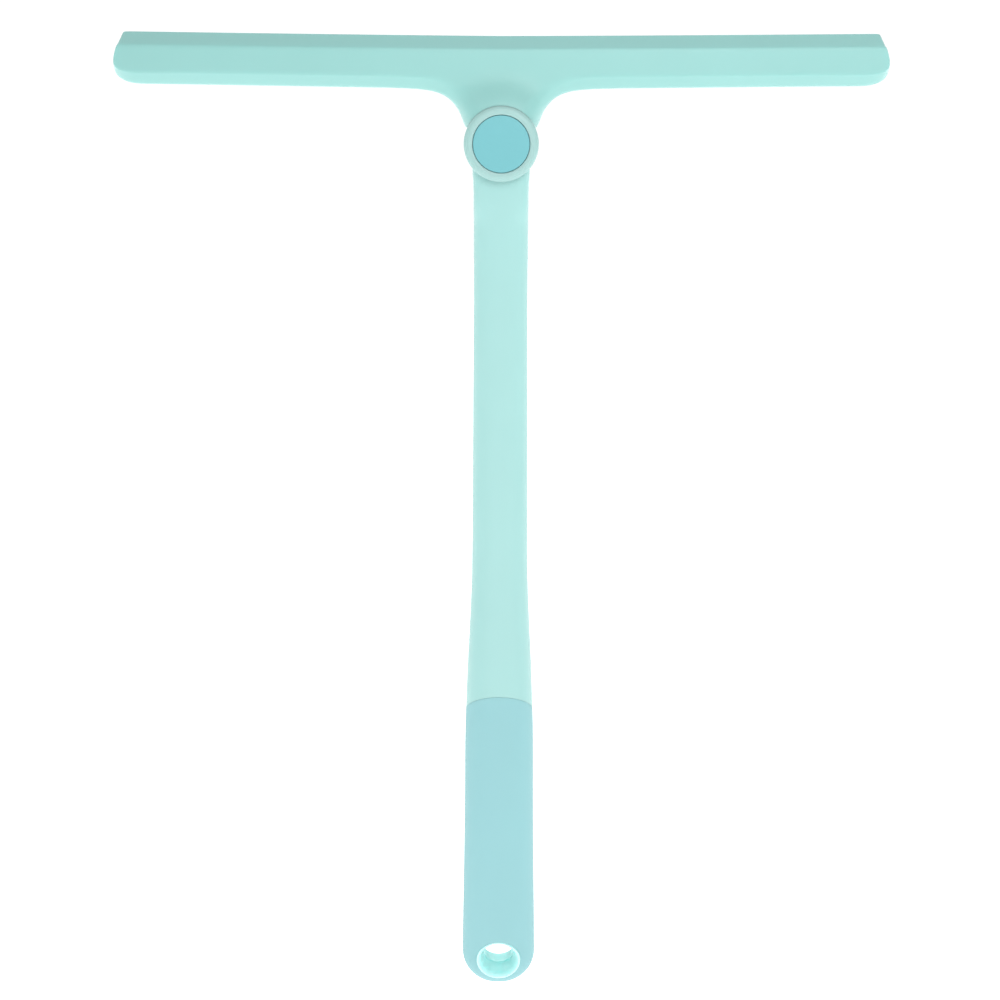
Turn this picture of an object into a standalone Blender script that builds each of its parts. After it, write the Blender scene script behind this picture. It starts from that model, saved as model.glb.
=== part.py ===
"""Window cleaning squeegee with a soft blade head on a push-button swivel and an arched two-piece handle.

Lengths are in millimetres while the shapes are worked out and become metres when a mesh is made.
The hub frame has its origin on the swivel axis: +X right, +Y away from the front, +Z up.
The world origin is the middle of the grip, so every object is placed at HUB, the hub seen from there.
"""
import math

import bmesh
import bpy
from mathutils import Vector

MM = 0.001
GAP = 0.3

# handle centreline: straight from the hub, then an arc whose lower end goes back
ARC_R = 1310.0
ARC_START = 15.0
END_S = 353.0
END_R = 15.7
GRIP_MID_S = 290.0
EYELET_S = 353.3
SECTION_POWER = 2.6
HUB_POWER = 5.0
HUB_POWER_S = (20.0, 32.0)
HALF_WIDTH = ((0, 10.9), (60, 10.8), (110, 11.0), (150, 11.2), (176, 11.5), (194, 12.2), (212, 13.1),
              (230, 13.8), (248, 14.3), (272, 14.5), (290, 14.7), (315, 15.1), (337, 15.5), (353, 15.7))
HALF_THICK = ((0, 7.3), (60, 7.0), (150, 7.2), (200, 8.0), (235, 9.2), (290, 9.6), (330, 9.0), (353, 8.5))

# handle shells and grip
SEAT_R = 13.7
SHOULDER_Z = -11.5
SHELL_WALL = 2.2
CAVITY_S0 = 27.0
CAVITY_S1 = 334.0
GRIP_WALL = 1.8
GRIP_SIDE_S = 234.85
GRIP_ARCH = 9.2
ARCH_POWER = 2.2
SCREW_S = (34.0, 92.0, 150.0, 208.0)
OUTER_STEPS = 18
INNER_STEPS = 8
BOSS_R = 3.9
SCREW_R = 1.25
SCREW_HOLE_R = 1.55
SCREW_HEAD_R = 2.5
SCREW_WELL_R = 2.8
SCREW_SEAT_Y = 4.6

# eyelet liner, an hourglass bore with a rounded rim
EYE_R = 7.9
EYE_WAIST_R = 6.9
EYE_RIM_R = 8.9
EYE_OUT_R = 9.6
EYE_HALF = 8.6

# hub, along Y
RING_R = 14.4
RING_IN_R = 11.15
RING_STEP_R = 12.5
RING_FRONT = -12.0
EAR_R = 14.0
EAR_FRONT = -9.0
EAR_RECESS = -6.6
EAR_INNER = 4.2
CUP_FLOOR = 8.6
CUP_BACK = 9.9
CAP_BACK = 12.9
CAP_R = 13.2
COLLAR_R = 7.0
COLLAR_END = 0.8
STEM_R = 5.2
STEM_BORE_R = 3.6
BUTTON_R = 10.8
FLANGE_R = 12.1
POST_R = 3.3
BOLT_R = 2.0

# swivel lock
TEETH = 24
GEAR_MEAN_R = 9.1
TOOTH_HALF = 0.5
GEAR_FRONT = 1.4
GEAR_BACK = 6.0
SPRING_R = 5.6
SPRING_WIRE_R = 0.45
SPRING_TURNS = 3.0

# blade head
BAR_HALF = 151.2
TONGUE_HALF = 3.2
TONGUE_R = 13.2
HEAD_FRONT = 5.8
NECK_CLEAR_R = 14.8
NECK_END_ANGLE = 65.5
CROWN = 1.375
CROWN_POWER = 1.25
LIP_Z = 42.725
BAR_BOTTOM_Z = 20.75
BAR_BOTTOM_RISE = 0.0131
LIP_DEPTH = 5.3
CHAMFER = 4.4
END_POINTS = [(143.0, 42.63, 1.0, 143.0, 37.33), (146.4, 42.6, 1.0, 147.4, 37.3), (147.2, 42.2, 1.0, 148.3, 37.25),
              (147.9, 40.9, 0.8, 148.75, 37.2), (148.8, 38.8, 0.5, 149.1, 37.05), (149.8, 36.6, 0.15, 149.4, 36.5),
              (150.6, 34.4, 0.0, 150.0, 34.4), (151.15, 32.1, 0.0, 150.5, 32.2), (151.2, 29.8, 0.0, 150.5, 30.3),
              (150.7, 27.5, 0.0, 149.8, 28.9), (149.6, 25.6, 0.0, 148.4, 28.0), (147.6, 24.1, 0.0, 146.4, 27.4),
              (144.8, 23.1, 0.0, 144.0, 27.0), (141.0, 22.6, 0.0, 140.7, 26.8), (134.0, 22.4, 0.0, 134.0, 26.7)]
NECK_POINTS = [(37.0, 21.1), (31.0, 20.8), (26.5, 20.1), (23.6, 19.3), (21.4, 18.2), (19.6, 16.9), (17.9, 15.0),
               (16.8, 13.2), (16.0, 11.6), (15.5, 10.2), (15.0, 8.8), (14.5, 7.6), (13.9, 6.6), (13.2, 5.6)]

PI = math.pi


def table(pairs, s):
    """Linear interpolation in a table of (s, value)."""
    if s <= pairs[0][0]:
        return pairs[0][1]
    for (a, va), (b, vb) in zip(pairs, pairs[1:]):
        if s <= b:
            return va + (vb - va) * (s - a) / (b - a)
    return pairs[-1][1]


def tilt(s):
    return max(0.0, s - ARC_START) / ARC_R


def centre(s):
    """Point of the handle's centreline in the hub frame."""
    a = tilt(s)
    return Vector((0.0, ARC_R * (1 - math.cos(a)), -min(s, ARC_START) - ARC_R * math.sin(a)))


ORIGIN = centre(GRIP_MID_S)
HUB = -ORIGIN


def place(s, x, y):
    """Hub-frame point at distance s down the handle, x across and y front to back."""
    a = tilt(s)
    return centre(s) + Vector((x, y * math.cos(a), y * math.sin(a)))


def signed_power(v, p):
    return math.copysign(abs(v) ** p, v)


# ---------------------------------------------------------------- mesh helpers

def clear_scene():
    for obj in list(bpy.data.objects):
        bpy.data.objects.remove(obj, do_unlink=True)


def material(name, colour, roughness, metallic=0.0):
    mat = bpy.data.materials.new(name)
    mat.use_nodes = True
    shader = mat.node_tree.nodes["Principled BSDF"]
    shader.inputs["Base Color"].default_value = (*colour, 1.0)
    shader.inputs["Roughness"].default_value = roughness
    shader.inputs["Metallic"].default_value = metallic
    return mat


def to_object(name, bm, mat=None, at=None, lean=0.0):
    """Mesh object from hub-frame or local millimetres, set at a hub-frame point and leaned about X."""
    bmesh.ops.recalc_face_normals(bm, faces=bm.faces)
    bmesh.ops.scale(bm, vec=(MM, MM, MM), verts=bm.verts)
    mesh = bpy.data.meshes.new(name)
    bm.to_mesh(mesh)
    bm.free()
    mesh.shade_smooth()
    mesh.set_sharp_from_angle(angle=math.radians(32))
    obj = bpy.data.objects.new(name, mesh)
    obj.location = (HUB + (at or Vector((0, 0, 0)))) * MM
    obj.rotation_euler = (lean, 0.0, 0.0)
    if mat:
        mesh.materials.append(mat)
    bpy.context.scene.collection.objects.link(obj)
    return obj


def add_loft(bm, rings, closed=False):
    """Skin through rings of equal length; the ends are capped unless the rings close on themselves."""
    loops = [[bm.verts.new(p) for p in ring] for ring in rings]
    pairs = list(zip(loops, loops[1:]))
    if closed:
        pairs.append((loops[-1], loops[0]))
    for a, b in pairs:
        for i in range(len(a)):
            j = (i + 1) % len(a)
            bm.faces.new((a[i], a[j], b[j], b[i]))
    if not closed:
        bm.faces.new(loops[0])
        bm.faces.new(list(reversed(loops[-1])))


def add_lathe(bm, profile, segments, closed=True):
    """Revolve (radius, y) points about Y; an open profile runs from the axis to the axis and gets flat ends."""
    phase = 0.0 if closed else 0.31
    rings = []
    for r, y in profile:
        if r > 0:
            angles = [2 * PI * (i + phase) / segments for i in range(segments)]
            rings.append([(r * math.cos(a), y, r * math.sin(a)) for a in angles])
    add_loft(bm, rings, closed)


def lathe(name, profile, mat=None, segments=48, closed=True, at=None, lean=0.0):
    bm = bmesh.new()
    add_lathe(bm, profile, segments, closed)
    return to_object(name, bm, mat, at, lean)


def prism(name, outline, y0, y1, mat=None):
    """Solid between two depths with an outline given as (x, z)."""
    bm = bmesh.new()
    add_loft(bm, [[(x, y, z) for x, z in outline] for y in (y0, y1)])
    return to_object(name, bm, mat)


def boolean(obj, tool, operation="DIFFERENCE"):
    tool.hide_render = True
    tool.display_type = "WIRE"
    mod = obj.modifiers.new(tool.name, "BOOLEAN")
    mod.operation = operation
    mod.solver = "EXACT"
    mod.object = tool


def disc(r, y0, y1):
    """Open profile of a plain cylinder for the lathe."""
    return [(0, y0), (r, y0), (r, y1), (0, y1)]


# ---------------------------------------------------------------- handle

def squareness(s):
    """Power of the section's curve: squarer beside the hub, rounder down the handle."""
    first, last = HUB_POWER_S
    t = min(1.0, max(0.0, (last - s) / (last - first)))
    return SECTION_POWER + (HUB_POWER - SECTION_POWER) * t * t * (3 - 2 * t)


def oblong(half_w, half_t, angle, s):
    """Point of the rounded-oblong section, its front towards -Y."""
    power = 2 / squareness(s)
    return half_w * signed_power(math.cos(angle), power), -half_t * signed_power(math.sin(angle), power)


def half_sizes(s, inset):
    """Half width and half thickness of the handle, inset inside its skin; past END_S the end rounds off."""
    if s <= END_S:
        return table(HALF_WIDTH, s) - inset, table(HALF_THICK, s) - inset
    width, thick = END_R - inset, table(HALF_THICK, END_S) - inset
    over = min(0.999, (s - END_S) / width)
    return width * math.sqrt(1 - over * over), thick * (1 - over ** SECTION_POWER) ** (1 / SECTION_POWER)


def lift(u):
    """Share of the arch at u, the place across the handle from -1 to 1."""
    return (1 - min(1.0, abs(u)) ** ARCH_POWER) ** (1 / ARCH_POWER)


def section(s, inset, arch, count):
    """Closed ring of the handle; arch lifts its front and back towards the hub."""
    half_w, half_t = half_sizes(s, inset)
    ring = []
    for i in range(count):
        x, y = oblong(half_w, half_t, 2 * PI * i / count, s)
        ring.append(place(s - arch * lift(x / half_w), x, y))
    return ring


def end_stations(inset, steps):
    """Distances of the rings round the handle's end, stopping short of the tip."""
    reach = END_R - inset
    return [END_S + reach * math.sin(PI / 2 * k / steps) for k in range(1, steps)] + [END_S + reach * 0.992]


def half_section(s, side, inset, arch, hollow):
    """Ring of one shell: its outer skin, then back along the hollow, or along the joint where it is solid."""
    half_w, half_t = half_sizes(s, inset)
    edge = GAP / 2
    ring = []
    for k in range(OUTER_STEPS + 1):
        x, y = oblong(half_w, half_t, PI * k / OUTER_STEPS, s)
        ring.append(place(s - arch * lift(x / half_w), x, side * max(edge, abs(y))))
    in_w, in_t = max(0.2, half_w - SHELL_WALL), (half_t - SHELL_WALL if hollow else 0.0)
    for k in range(INNER_STEPS, -1, -1):
        x, y = oblong(in_w, in_t, PI * k / INNER_STEPS, s)
        ring.append(place(s - arch * lift(x / half_w), x, side * max(edge, abs(y))))
    return ring


def shell_skin(bm, side):
    """Half handle body: full size above the grip's edge and one grip wall smaller below it."""
    under = GRIP_WALL + GAP
    step = GRIP_SIDE_S - GAP - 0.05
    plan = [(0, 0, 0, 0), (15, 0, 0, 0), (21, 0, 0, 0), (CAVITY_S0, 0, 0, 0), (CAVITY_S0 + 0.6, 0, 0, 1),
            (32, 0, 0, 1), (45, 0, 0, 1), (75, 0, 0, 1), (110, 0, 0, 1), (140, 0, 0, 1), (165, 0, 0, 1), (185, 0, 0, 1), (200, 0, 0.3, 1), (215, 0, 0.7, 1),
            (step, 0, 1, 1), (step + 0.05, under, 1, 1), (248, under, 0.4, 1), (262, under, 0, 1), (285, under, 0, 1),
            (310, under, 0, 1), (CAVITY_S1, under, 0, 1), (CAVITY_S1 + 0.6, under, 0, 0), (END_S, under, 0, 0)]
    plan += [(s, under, 0, 0) for s in end_stations(under, 6)]
    add_loft(bm, [half_section(s, side, inset, GRIP_ARCH * arch, hollow) for s, inset, arch, hollow in plan])


def slot_outline():
    """Room for the tongue between the ears: a round seat under it with level shoulders at its sides."""
    reach = math.asin(-SHOULDER_Z / SEAT_R)
    arc = []
    for k in range(15):
        a = -PI + reach + (PI - 2 * reach) * k / 14
        arc.append((SEAT_R * math.cos(a), SEAT_R * math.sin(a)))
    return [(-30, SHOULDER_Z)] + arc + [(30, SHOULDER_Z), (30, 30), (-30, 30)]


def shell(name, side, mat):
    """One half of the handle, with its ear of the hub joined on and the eyelet and screw holes cut."""
    bm = bmesh.new()
    shell_skin(bm, side)
    body = to_object(name, bm, mat)
    for i, s in enumerate(SCREW_S):
        boss = disc(BOSS_R, *sorted((side * GAP / 2, side * (table(HALF_THICK, s) - 1.2))))
        boolean(body, lathe(f"{name}_boss_{i + 1}", boss, None, 22, False, centre(s), tilt(s)), "UNION")
    drum = (EAR_FRONT, -EAR_INNER + 1) if side < 0 else (EAR_INNER - 1, CUP_BACK)
    boolean(body, lathe(f"{name}_drum", disc(EAR_R, *drum), None, 48, False), "UNION")
    boolean(body, prism(f"{name}_slot", slot_outline(), -EAR_INNER, EAR_INNER))
    eye = lathe(f"{name}_eye", disc(EYE_OUT_R + GAP, -20, 20), None, 48, False, centre(EYELET_S), tilt(EYELET_S))
    boolean(body, eye)
    for i, s in enumerate(SCREW_S):
        profile = screw_hole_profile(side)
        hole = lathe(f"{name}_hole_{i + 1}", profile, None, 16, False, centre(s), tilt(s))
        boolean(body, hole)
    return body


def screw_hole_profile(side):
    """Blind hole in the front shell, through hole with a head well in the rear one."""
    if side < 0:
        return disc(SCREW_HOLE_R, -5.0, 2.0)
    return [(0, -2.0), (SCREW_HOLE_R, -2.0), (SCREW_HOLE_R, SCREW_SEAT_Y), (SCREW_WELL_R, SCREW_SEAT_Y),
            (SCREW_WELL_R, 14.0), (0, 14.0)]


def front_shell(mat):
    body = shell("handle_front_shell", -1, mat)
    boolean(body, lathe("front_ear_recess", disc(RING_STEP_R, EAR_FRONT - 2, EAR_RECESS), None, 44, False))
    boolean(body, lathe("front_ear_collar", disc(COLLAR_R, EAR_RECESS + 0.5, COLLAR_END), None, 48, False), "UNION")
    boolean(body, lathe("front_ear_bore", disc(STEM_R + 0.35, -12, 3), None, 48, False))
    return body


def rear_shell(mat):
    body = shell("handle_rear_shell", 1, mat)
    cut = bmesh.new()
    add_loft(cut, [[(x, y, z) for x, z in gear_outline(GAP)] for y in (EAR_INNER - 1.5, CUP_FLOOR)])
    boolean(body, to_object("rear_cup_splines", cut))
    boolean(body, lathe("rear_bolt_hole", disc(BOLT_R + GAP, 4, 14), None, 24, False))
    return body


def shell_screws(mat):
    """Pan-head screws set in from the back; the drive is a shallow cross."""
    for i, s in enumerate(SCREW_S):
        seat = SCREW_SEAT_Y + GAP
        profile = [(0, -4.4), (SCREW_R * 0.6, -4.4), (SCREW_R, -3.4), (SCREW_R, seat), (SCREW_HEAD_R, seat),
                   (SCREW_HEAD_R, seat + 0.9), (SCREW_HEAD_R - 0.6, seat + 1.5), (0, seat + 1.6)]
        screw = lathe(f"handle_screw_{i + 1}", profile, mat, 16, False, centre(s), tilt(s))
        cross = cross_cutter(f"screw_drive_{i + 1}", seat + 0.7, seat + 3, 1.5, 0.3)
        cross.location = (HUB + centre(s)) * MM
        cross.rotation_euler = (tilt(s), 0, 0)
        boolean(screw, cross)


def cross_cutter(name, y0, y1, reach, half):
    plan = [(half, half), (half, reach), (-half, reach), (-half, half), (-reach, half), (-reach, -half),
            (-half, -half), (-half, -reach), (half, -reach), (half, -half), (reach, -half), (reach, half)]
    return prism(name, plan, y0, y1)


def grip_sleeve(mat):
    """Soft sock over the lower handle, open at its arched top edge, with the eyelet hole through it."""
    count = 32
    outer_s = ((GRIP_SIDE_S + 0.6, 1.0), (248, 0.5), (262, 0.0), (276, 0), (290, 0), (315, 0), (337, 0), (END_S, 0))
    rings = [section(GRIP_SIDE_S, 0.45, GRIP_ARCH, count)]
    rings += [section(s, 0, GRIP_ARCH * k, count) for s, k in outer_s]
    rings += [section(s, 0, 0, count) for s in end_stations(0, 7)]
    inner = [section(GRIP_SIDE_S, GRIP_WALL, GRIP_ARCH, count)]
    inner += [section(s, GRIP_WALL, GRIP_ARCH * k, count) for s, k in ((248, 0.4), (262, 0.0))]
    inner += [section(s, GRIP_WALL, 0, count) for s in (285, 310, 335, END_S)]
    inner += [section(s, GRIP_WALL, 0, count) for s in end_stations(GRIP_WALL, 6)]
    bm = bmesh.new()
    loops = [[bm.verts.new(p) for p in ring] for ring in list(reversed(rings)) + inner]
    for a, b in zip(loops, loops[1:]):
        for i in range(count):
            j = (i + 1) % count
            bm.faces.new((a[i], a[j], b[j], b[i]))
    bm.faces.new(loops[0])
    bm.faces.new(list(reversed(loops[-1])))
    sleeve = to_object("grip_sleeve", bm, mat)
    eye = lathe("grip_eye", disc(EYE_OUT_R + GAP, -20, 20), None, 48, False, centre(EYELET_S), tilt(EYELET_S))
    boolean(sleeve, eye)


def eyelet_liner(mat):
    half, rim = EYE_HALF, EYE_HALF - 1.0
    wall = [(EYE_RIM_R, -half), (EYE_RIM_R - 0.7, -half + 0.35), (EYE_R, -rim), (EYE_R - 0.35, -rim * 0.5),
            (EYE_WAIST_R + 0.15, -0.6), (EYE_WAIST_R, 0.0), (EYE_WAIST_R + 0.15, 0.6), (EYE_R - 0.35, rim * 0.5),
            (EYE_R, rim), (EYE_RIM_R - 0.7, half - 0.35), (EYE_RIM_R, half)]
    outside = [(EYE_OUT_R - 0.2, half), (EYE_OUT_R, half - 0.2), (EYE_OUT_R, -half + 0.2), (EYE_OUT_R - 0.2, -half)]
    lathe("eyelet_liner", wall + outside, mat, 36, True, centre(EYELET_S), tilt(EYELET_S))


# ---------------------------------------------------------------- hub

def hub_bezel(mat):
    profile = [(RING_IN_R, RING_FRONT + 0.5), (RING_IN_R + 0.5, RING_FRONT), (RING_R - 0.9, RING_FRONT),
               (RING_R - 0.25, RING_FRONT + 0.25), (RING_R, RING_FRONT + 0.9), (RING_R, EAR_FRONT - GAP),
               (RING_STEP_R, EAR_FRONT - GAP), (RING_STEP_R, -10.6), (RING_IN_R, -10.6)]
    lathe("hub_bezel", profile, mat, 44)


def release_button(mat):
    """Cap under the bezel's lip with a hollow stem that pushes the lock gear."""
    profile = [(0, -12.15), (5.4, -12.1), (BUTTON_R - 0.5, -11.95), (BUTTON_R, -11.5), (BUTTON_R, -10.3),
               (FLANGE_R, -10.3), (FLANGE_R, -9.4), (STEM_R, -9.4), (STEM_R, GEAR_FRONT - GAP),
               (STEM_BORE_R, GEAR_FRONT - GAP), (STEM_BORE_R, -10.7), (0, -10.7)]
    lathe("release_button", profile, mat, 40, False)


def gear_outline(grow):
    """Trapezoid-toothed outline about the swivel axis, tooth pitch 15 degrees."""
    points = []
    for k in range(TEETH):
        for part, sign in ((0.06, -1), (0.40, -1), (0.56, 1), (0.90, 1)):
            a = 2 * PI * (k + part) / TEETH
            r = GEAR_MEAN_R + sign * TOOTH_HALF + grow
            points.append((r * math.cos(a), r * math.sin(a)))
    return points


def lock_gear(mat):
    bm = bmesh.new()
    add_loft(bm, [[(x, y, z) for x, z in gear_outline(0)] for y in (GEAR_FRONT, GEAR_BACK)])
    gear = to_object("lock_gear", bm, mat)
    bore = [(0, 0), (STEM_BORE_R, 0), (STEM_BORE_R, 3.4), (7.0, 3.4), (7.0, 8.0), (0, 8.0)]
    boolean(gear, lathe("gear_bore", bore, None, 40, False))


def button_spring(mat):
    """Round-wire coil between the gear's pocket and the cup's floor."""
    bm = bmesh.new()
    low, high = 3.4 + GAP + SPRING_WIRE_R, CUP_FLOOR - GAP - SPRING_WIRE_R
    steps = int(SPRING_TURNS * 16)
    rings = []
    for k in range(steps + 1):
        a = 2 * PI * SPRING_TURNS * k / steps
        y = low + (high - low) * k / steps
        ring = []
        for j in range(6):
            b = 2 * PI * j / 6
            r = SPRING_R + SPRING_WIRE_R * math.cos(b)
            ring.append((r * math.cos(a), y + SPRING_WIRE_R * math.sin(b), r * math.sin(a)))
        rings.append(ring)
    add_loft(bm, rings)
    return to_object("button_spring", bm, mat)


def pivot_parts(steel, plastic, felt):
    post = [(BOLT_R + GAP, -5.9), (POST_R, -5.9), (POST_R, CUP_FLOOR - GAP), (BOLT_R + GAP, CUP_FLOOR - GAP)]
    lathe("guide_post", post, plastic, 24)
    bolt = [(0, -7.8), (POST_R - 0.5, -7.8), (POST_R, -7.4), (POST_R, -6.2), (BOLT_R, -6.2), (BOLT_R, 11.4), (0, 11.4)]
    lathe("pivot_bolt", bolt, steel, 32, False)
    nut = [(3.6 * math.cos(PI / 3 * k), 3.6 * math.sin(PI / 3 * k)) for k in range(6)]
    body = prism("pivot_nut", nut, CUP_BACK + GAP, 11.7, steel)
    boolean(body, lathe("nut_bore", disc(BOLT_R + GAP, 9, 14), None, 24, False))
    lathe("front_friction_washer", [(7.5, -3.9), (12.2, -3.9), (12.2, -3.5), (7.5, -3.5)], felt, 32)
    lathe("rear_friction_washer", [(10.3, 3.5), (12.4, 3.5), (12.4, 3.9), (10.3, 3.9)], felt, 32)


def rear_hub_cap(mat):
    """Cup-shaped cover over the nut, with a flat back face."""
    profile = [(0, CAP_BACK - 0.9), (11.2, CAP_BACK - 0.9), (11.2, CUP_BACK + GAP), (CAP_R, CUP_BACK + GAP),
               (CAP_R, CAP_BACK - 1.2), (CAP_R - 0.35, CAP_BACK - 0.35), (CAP_R - 1.2, CAP_BACK), (0, CAP_BACK)]
    lathe("rear_hub_cap", profile, mat, 44, False)


# ---------------------------------------------------------------- blade head

def crown(x):
    """Drop of the bar's middle below its ends."""
    return -CROWN * (1 - (x / BAR_HALF) ** CROWN_POWER)


def head_outline():
    """Right half of the head's edge, top middle to neck, as (x, z, lip share, inner x, inner z)."""
    half = [(x, LIP_Z + crown(x), 1.0, x, LIP_Z + crown(x) - LIP_DEPTH) for x in (0, 18, 36, 54, 72, 90, 108, 124, 136)]
    half += END_POINTS
    for x in (124, 108, 90, 72, 58, 46):
        low = BAR_BOTTOM_Z + BAR_BOTTOM_RISE * x
        half.append((x, low, 0.0, x, low + CHAMFER))
    for i, (x, z) in enumerate(NECK_POINTS):
        before = NECK_POINTS[i - 1] if i else (46.0, 21.35)
        after = NECK_POINTS[min(i + 1, len(NECK_POINTS) - 1)]
        way = Vector((after[0] - before[0], after[1] - before[1])).normalized()
        half.append((x, z, 0.0, x + way.y * CHAMFER, z - way.x * CHAMFER))
    return half


def head_rings(levels):
    """Rings from the back face over the edge to the front face.

    Each level is (lip fraction, chamfer fraction, lip y, chamfer y), the fractions counted from edge to crease.
    """
    half = head_outline()
    whole = half + [(-x, z, lip, -xi, zi) for x, z, lip, xi, zi in reversed(half) if x > 0]
    rings = []
    for lip_part, low_part, y_lip, y_low in levels:
        ring = []
        for x, z, lip, xi, zi in whole:
            part = lip_part * lip + low_part * (1 - lip)
            ring.append((x + (xi - x) * part, y_lip * lip + y_low * (1 - lip), z + (zi - z) * part))
        rings.append(ring)
    return rings


def blade_head(mat):
    """Soft head: bar with a tapering lip on top, chamfered lower edge and a neck that straddles the tongue."""
    f = HEAD_FRONT
    levels = ((1.0, 1.0, 5.0, 5.0), (0.85, 0.8, 4.7, 4.75), (0.45, 0.37, 2.6, 3.9), (0.05, 0.06, 0.9, 2.6),
              (0.0, 0.0, 0.55, 1.4), (0.0, 0.0, -0.55, -1.4), (0.05, 0.06, -0.9, -2.4), (0.45, 0.42, -3.0, -4.3),
              (0.85, 0.82, 0.35 - f, 0.35 - f), (1.0, 1.0, -f, -f))
    bm = bmesh.new()
    add_loft(bm, head_rings(levels))
    head = to_object("blade_head", bm, mat)
    boolean(head, lathe("neck_round_clear", disc(NECK_CLEAR_R, -14, 14), None, 72, False))
    rise = 40 / math.tan(math.radians(NECK_END_ANGLE))
    boolean(head, prism("neck_end_clear", [(-40, -30), (40, -30), (40, rise), (0, 0), (-40, rise)], -15, 15))
    pocket = plate_outline(GAP) + [(-12.4 - GAP, 0.0), (12.4 + GAP, 0.0)]
    boolean(head, prism("head_core_pocket", pocket, -TONGUE_HALF - GAP, TONGUE_HALF + GAP))


def plate_outline(grow):
    """Bar and neck of the stiff plate, from the neck's right side round to its left side."""
    bar, top, low = 139.5 + grow, 35.4 + grow, 26.2 - grow
    half = 12.4 + grow
    right = [(half, 17.2), (14.4 + grow, 20.7), (21.0 + grow, low), (bar, low), (bar, top)]
    return right + [(-x, z) for x, z in reversed(right)]


def head_core(mat):
    """Stiff T plate with the tongue disc, its bore over the collar and the lock splines in its back."""
    arc = [(TONGUE_R * math.cos(a), TONGUE_R * math.sin(a))
           for a in (math.radians(160 + 220 * k / 44) for k in range(45))]
    outline = plate_outline(0) + arc
    core = prism("head_core", outline, -TONGUE_HALF, TONGUE_HALF, mat)
    boolean(core, lathe("tongue_bore", disc(COLLAR_R + GAP, -9, 1.9), None, 48, False))
    bm = bmesh.new()
    add_loft(bm, [[(x, y, z) for x, z in gear_outline(GAP)] for y in (GEAR_FRONT - GAP, 8)])
    boolean(core, to_object("tongue_splines", bm))


def main():
    clear_scene()
    shell_mat = material("handle_plastic", (0.46, 0.78, 0.74), 0.42)
    core_mat = material("core_plastic", (0.62, 0.80, 0.78), 0.45)
    blade_mat = material("blade_silicone", (0.42, 0.75, 0.70), 0.38)
    grip_mat = material("grip_rubber", (0.38, 0.67, 0.73), 0.6)
    button_mat = material("button_plastic", (0.27, 0.62, 0.68), 0.45)
    lock_mat = material("lock_plastic", (0.75, 0.76, 0.77), 0.4)
    steel_mat = material("plated_steel", (0.55, 0.56, 0.58), 0.3, 1.0)
    washer_mat = material("washer_plastic", (0.85, 0.85, 0.83), 0.5)
    front_shell(shell_mat)
    rear_shell(shell_mat)
    shell_screws(steel_mat)
    grip_sleeve(grip_mat)
    eyelet_liner(shell_mat)
    hub_bezel(shell_mat)
    rear_hub_cap(shell_mat)
    pivot_parts(steel_mat, lock_mat, washer_mat)
    release_button(button_mat)
    lock_gear(lock_mat)
    button_spring(steel_mat)
    blade_head(blade_mat)
    head_core(core_mat)


main()
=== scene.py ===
"""Looks of the window cleaning squeegee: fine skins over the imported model, materials, light and camera.

Shapes are worked out in millimetres in the hub frame (origin on the swivel axis, +X right, +Y back, +Z up)
and become metres in the row frame, whose origin is the middle of the grip, when a mesh is made.
"""
import math

import bmesh
import bpy
from mathutils import Matrix, Vector
from mathutils.geometry import delaunay_2d_cdt

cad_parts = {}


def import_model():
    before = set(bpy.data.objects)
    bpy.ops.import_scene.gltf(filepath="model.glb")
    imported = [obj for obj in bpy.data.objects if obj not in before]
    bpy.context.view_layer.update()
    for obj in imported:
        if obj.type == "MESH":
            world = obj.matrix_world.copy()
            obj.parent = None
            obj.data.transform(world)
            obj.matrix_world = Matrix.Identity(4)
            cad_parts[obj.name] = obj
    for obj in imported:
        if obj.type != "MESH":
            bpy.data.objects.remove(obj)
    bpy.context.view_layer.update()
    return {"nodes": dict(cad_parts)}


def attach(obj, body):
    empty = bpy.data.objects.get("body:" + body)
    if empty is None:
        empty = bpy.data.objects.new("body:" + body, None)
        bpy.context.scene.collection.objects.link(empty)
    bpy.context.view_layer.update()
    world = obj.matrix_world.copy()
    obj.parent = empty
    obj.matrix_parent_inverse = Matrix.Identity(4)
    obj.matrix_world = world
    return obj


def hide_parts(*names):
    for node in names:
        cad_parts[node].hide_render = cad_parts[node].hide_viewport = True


MM = 0.001
PI = math.pi

# handle centreline and sections
ARC_R = 1310.0
ARC_START = 15.0
END_S = 353.0
END_R = 15.68
GRIP_MID_S = 290.0
EYELET_S = 353.3
SECTION_POWER = 2.6
HUB_POWER = 5.0
HUB_POWER_S = (20.0, 32.0)
HALF_WIDTH = ((0, 11.55), (9, 11.5), (12, 11.25), (16, 10.95), (22, 10.85), (60, 10.75), (110, 11.0),
              (150, 11.2), (176, 11.5), (194, 12.2), (212, 13.1), (230, 13.8), (248, 14.3), (272, 14.5),
              (290, 14.7), (315, 15.1), (337, 15.5), (353, 15.7))
HALF_THICK = ((0, 7.3), (60, 7.0), (150, 7.2), (200, 8.0), (235, 9.2), (290, 9.6), (330, 9.0), (353, 8.5))
TIP_REACH = 0.998
SEAM = 0.07
SHELL_WALL = 2.2
CAVITY_S = (27.0, 334.0)
THROUGH = 20.0

# grip and hanging hole
GRIP_WALL = 1.8
GRIP_ROOM = 0.25
GRIP_SIDE_S = 234.85
GRIP_ARCH = 9.2
ARCH_POWER = 2.2
EYE_IN_SHELL_R = 9.85
EYE_IN_GRIP_R = 9.52
EYE_HALF = 8.45

# screws from the back
SCREW_S = (34.0, 92.0, 150.0, 208.0)
SCREW_SEAT_Y = 4.6
SCREW_R = 1.25
SCREW_HEAD_R = 2.5
SCREW_HOLE_R = 1.55
SCREW_WELL_R = 2.8
BOSS_R = 3.9

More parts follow.
